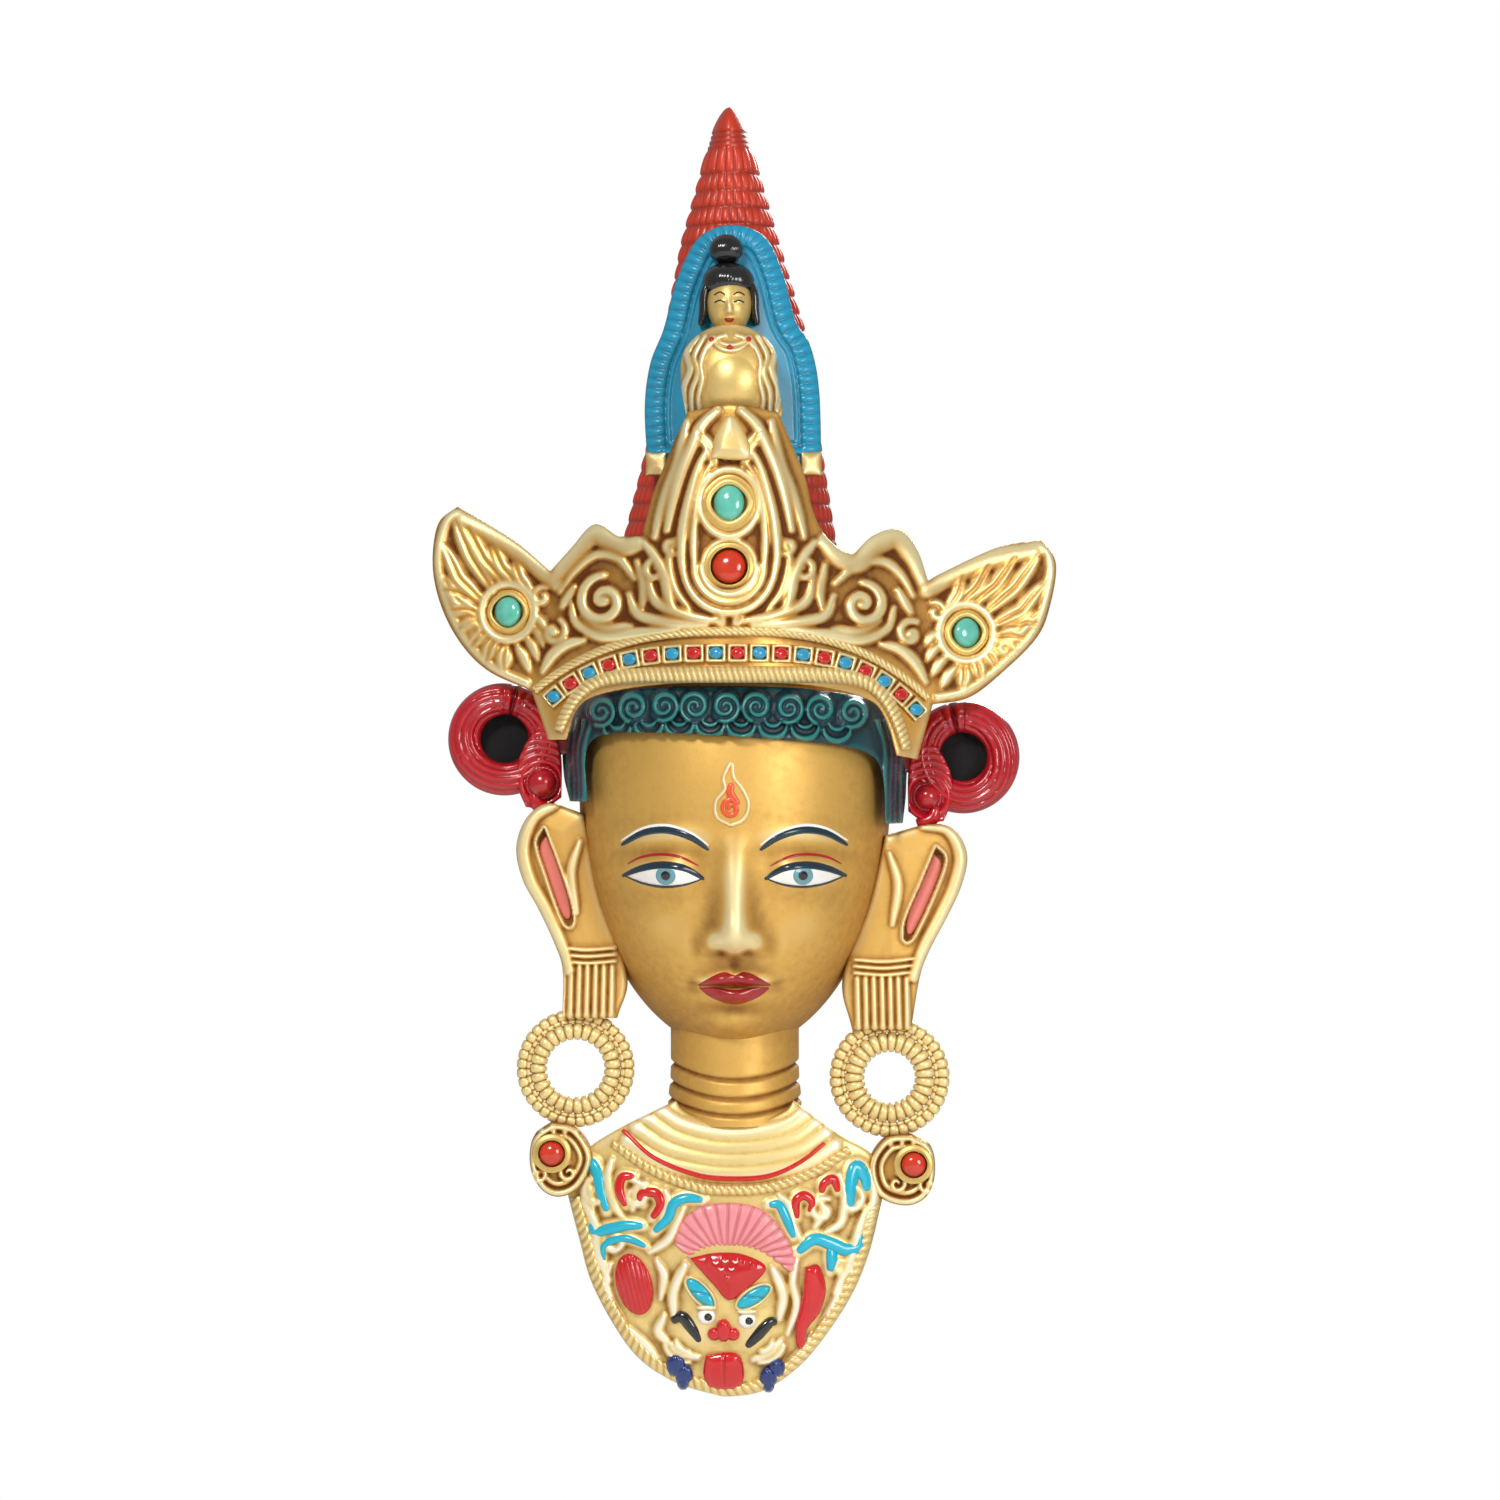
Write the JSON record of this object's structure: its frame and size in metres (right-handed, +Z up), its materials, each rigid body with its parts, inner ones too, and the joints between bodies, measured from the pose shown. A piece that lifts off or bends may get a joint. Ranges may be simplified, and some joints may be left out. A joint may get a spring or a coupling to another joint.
{
  "type": "wall mask",
  "caption": "Hollow gilded wall mask of a crowned serene head with tall hood, stones, hoop earrings and a painted breast plate, hung by a swinging ring.",
  "frame": {"origin": "centre of the hanger's eye, where the ring turns", "axes": "+Z up, the front of the mask looks along -Y, +X to the viewer's right"},
  "size_m": [0.1605, 0.0505, 0.3299],
  "materials": {
    "gilt": "gold paint over cast metal, brown antique wash in the recesses",
    "bare_brass": "satin",
    "hood_red": "satin red-orange paint",
    "aureole_blue": "satin blue paint",
    "hair_teal": "glossy dark blue-green paint",
    "black_gloss": "glossy black paint",
    "rosette_crimson": "glossy crimson paint",
    "scarlet": "glossy red paint",
    "sky_blue": "glossy turquoise-blue paint",
    "pink": "satin pink paint",
    "dark_blue": "glossy dark blue paint",
    "felt": "black felt",
    "turquoise": "polished",
    "coral": "polished"
  },
  "bodies": {
    "mask": {"aureole": "aureole_blue", "band_beads_blue": "sky_blue", "band_beads_red": "scarlet", "chest_plate": "gilt", "chest_rim_rope": "gilt", "chest_scrolls_red": "scarlet", "chest_scrolls_turquoise": "sky_blue", "chest_tassels": "dark_blue", "collar_rope": "gilt", "crown_coral": "coral", "crown_coral_bezel": "gilt", "crown_jewel_strip": "gilt", "crown_lower_rope": "gilt", "crown_plate": "gilt", "crown_posts": "gilt", "crown_top_bezel": "gilt", "crown_turquoise": "turquoise", "crown_upper_rope": "gilt", "ear_left": "gilt", "ear_right": "gilt", "earring_inner_left": "gilt", "earring_inner_right": "gilt", "earring_left": "gilt", "earring_right": "gilt", "face_shell": "gilt", "figure_body": "gilt", "figure_hair": "black_gloss", "figure_head": "gilt", "guardian_face": "scarlet", "guardian_feathers": "scarlet", "guardian_leaves": "sky_blue", "guardian_tongue": "scarlet", "hair_band": "hair_teal", "hanger_lug": "bare_brass", "hood": "hood_red", "lotus_fan": "pink", "lug_rivets": "bare_brass", "neck": "gilt", "pendant_bezel_left": "gilt", "pendant_bezel_right": "gilt", "pendant_coral_left": "coral", "pendant_coral_right": "coral", "pendant_left": "gilt", "pendant_right": "gilt", "rosette_boss_left": "rosette_crimson", "rosette_boss_right": "rosette_crimson", "rosette_felt_left": "felt", "rosette_felt_right": "felt", "rosette_left": "rosette_crimson", "rosette_right": "rosette_crimson", "spine_bar": "bare_brass", "strap_chest": "bare_brass", "strap_face": "bare_brass", "strap_hood": "bare_brass", "strap_rivets": "bare_brass", "wing_bezel_left": "gilt", "wing_bezel_right": "gilt", "wing_turquoise_left": "turquoise", "wing_turquoise_right": "turquoise"},
    "hanger_ring": {"hanger_ring": "bare_brass"}
  },
  "joints": [
    {"name": "hanger_ring_swing", "type": "hinge", "parent": "mask", "child": "hanger_ring", "pos_m": [0, 0, 0], "axis": [1, 0, 0], "range_deg": [0, 180]}
  ]
}
